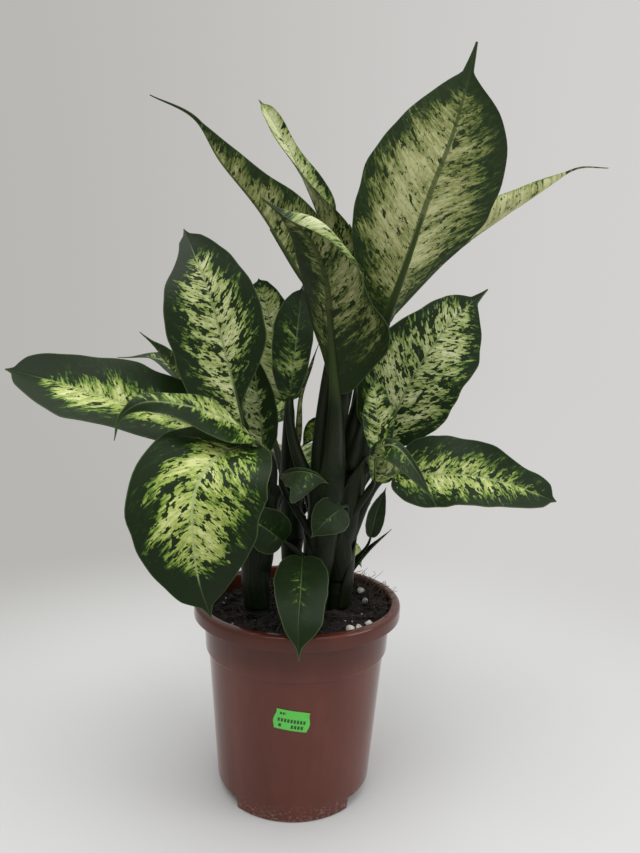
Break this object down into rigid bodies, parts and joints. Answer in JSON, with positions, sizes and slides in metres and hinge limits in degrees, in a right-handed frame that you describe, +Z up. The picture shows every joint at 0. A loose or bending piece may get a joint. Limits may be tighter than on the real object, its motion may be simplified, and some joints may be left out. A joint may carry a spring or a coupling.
{
  "type": "potted dieffenbachia",
  "caption": "Bushy potted dieffenbachia: variegated cream and green leaves on upright canes, in a brown plastic nursery pot with a small blank label.",
  "frame": {"origin": "centre of the flat hub on the pot's underside, on the surface that the pot stands on", "axes": "+Z up along the pot's axis to the leaves, +X to the right and -Y towards the side with the label"},
  "size_m": [0.4971, 0.3188, 0.6002],
  "materials": {
    "pot": "satin brown moulded plastic",
    "label": "bright green self-adhesive paper",
    "cane": "smooth dark green living stem",
    "soil": "rough dark peat and bark",
    "leaf": "smooth variegated leaf with a soft sheen"
  },
  "bodies": {
    "root": {"pot": "pot", "label": "label", "cane_left": "cane", "cane_middle": "cane", "cane_tall": "cane", "cane_back": "cane", "cane_sprout": "cane", "soil": "soil", "leaf_top_right": "leaf", "leaf_far_right": "leaf", "leaf_top_left": "leaf", "leaf_top_curled": "leaf", "leaf_top_hidden": "leaf", "leaf_front_upright": "leaf", "leaf_left_upright": "leaf", "leaf_left_flat": "leaf", "leaf_left_arching": "leaf", "leaf_left_drooping": "leaf", "leaf_left_behind": "leaf", "leaf_left_far": "leaf", "leaf_speckled": "leaf", "leaf_middle_dark": "leaf", "leaf_left_narrow": "leaf", "leaf_middle_edge_on": "leaf", "leaf_right_upright": "leaf", "leaf_right_narrow": "leaf", "leaf_right_flat": "leaf", "leaf_right_scrolled": "leaf", "leaf_over_the_rim": "leaf", "leaf_low_left": "leaf", "leaf_low_arching": "leaf", "leaf_low_middle": "leaf", "leaf_sprout_upright": "leaf", "leaf_sprout_pale": "leaf", "leaf_sprout_spike": "leaf", "leaf_sprout_yellow": "leaf", "leaf_olive": "leaf", "leaf_back_left": "leaf", "leaf_back_low": "leaf", "leaf_back_right": "leaf"}
  },
  "joints": []
}
